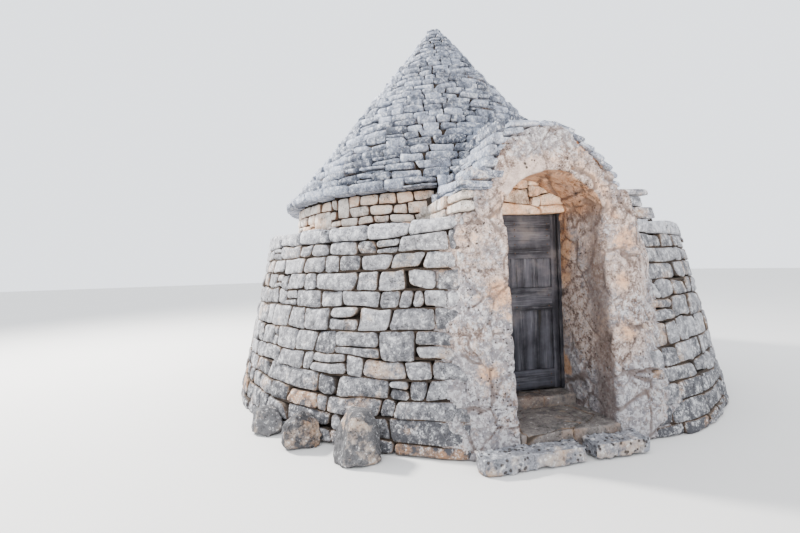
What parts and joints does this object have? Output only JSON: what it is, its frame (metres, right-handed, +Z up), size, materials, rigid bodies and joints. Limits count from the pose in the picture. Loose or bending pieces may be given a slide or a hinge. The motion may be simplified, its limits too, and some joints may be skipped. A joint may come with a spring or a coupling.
{
  "type": "trullo house",
  "caption": "Round dry stone trullo with a battered ring wall, a cone of limestone slabs over a corbelled dome, and an arched, plastered portal with a plank door that opens inwards.",
  "frame": {"origin": "on the ground on the axis of the cone and of the round room, at the underside of the room floor", "axes": "+Z up along the cone's axis, -Y out of the portal, +X to the right seen from the front"},
  "size_m": [5.95, 6.015, 4.754],
  "materials": {
    "ring_stone": "rough dry limestone, lichened",
    "coping_stone": "rough pale limestone",
    "roof_slab": "split limestone slabs, weathered blue-grey",
    "warm_stone": "small sheltered limestone, orange to cream",
    "ledge_earth": "earth and small rubble",
    "portal_plaster": "old lime plaster over limestone, stained",
    "inner_stone": "rough limestone, sheltered",
    "floor_stone": "worn limestone slabs, pitted",
    "door_wood": "weathered grey-brown planks, matt",
    "hinge_iron": "forged iron, rusty, matt"
  },
  "bodies": {
    "house": {"wall_front_left": "ring_stone", "wall_left": "ring_stone", "wall_left_rear": "ring_stone", "wall_back_left": "ring_stone", "wall_back_right": "ring_stone", "wall_right_rear": "ring_stone", "wall_right": "ring_stone", "wall_front_right": "ring_stone", "coping_left": "coping_stone", "coping_right": "coping_stone", "ledge_fill": "ledge_earth", "drum": "warm_stone", "roof_lower_courses": "roof_slab", "roof_middle_courses": "roof_slab", "roof_upper_courses": "roof_slab", "roof_cap": "roof_slab", "dome_lower": "inner_stone", "dome_middle": "inner_stone", "dome_upper": "inner_stone", "dome_closing_slab": "inner_stone", "portal_left_pier": "portal_plaster", "portal_right_pier": "portal_plaster", "portal_gable": "portal_plaster", "gable_cap_slabs": "roof_slab", "portal_vault": "warm_stone", "door_head_wall": "warm_stone", "portal_roof_left": "roof_slab", "portal_roof_right": "roof_slab", "door_lintels": "warm_stone", "passage_lintels": "inner_stone", "shoulder_blocks": "coping_stone", "room_floor": "floor_stone", "niche_floor": "floor_stone", "door_sill": "floor_stone", "threshold_slabs": "floor_stone", "foot_boulders": "coping_stone", "door_posts": "door_wood", "hinge_pintles": "hinge_iron"},
    "door": {"door_stiles": "door_wood", "door_rails": "door_wood", "door_top_boards": "door_wood", "door_upright_boards": "door_wood", "door_straps": "hinge_iron"}
  },
  "joints": [
    {"name": "door_hinge", "type": "hinge", "parent": "house", "child": "door", "pos_m": [-0.378, -2.076, 0.267], "axis": [0, 0, 1], "range_deg": [0, 90]}
  ]
}
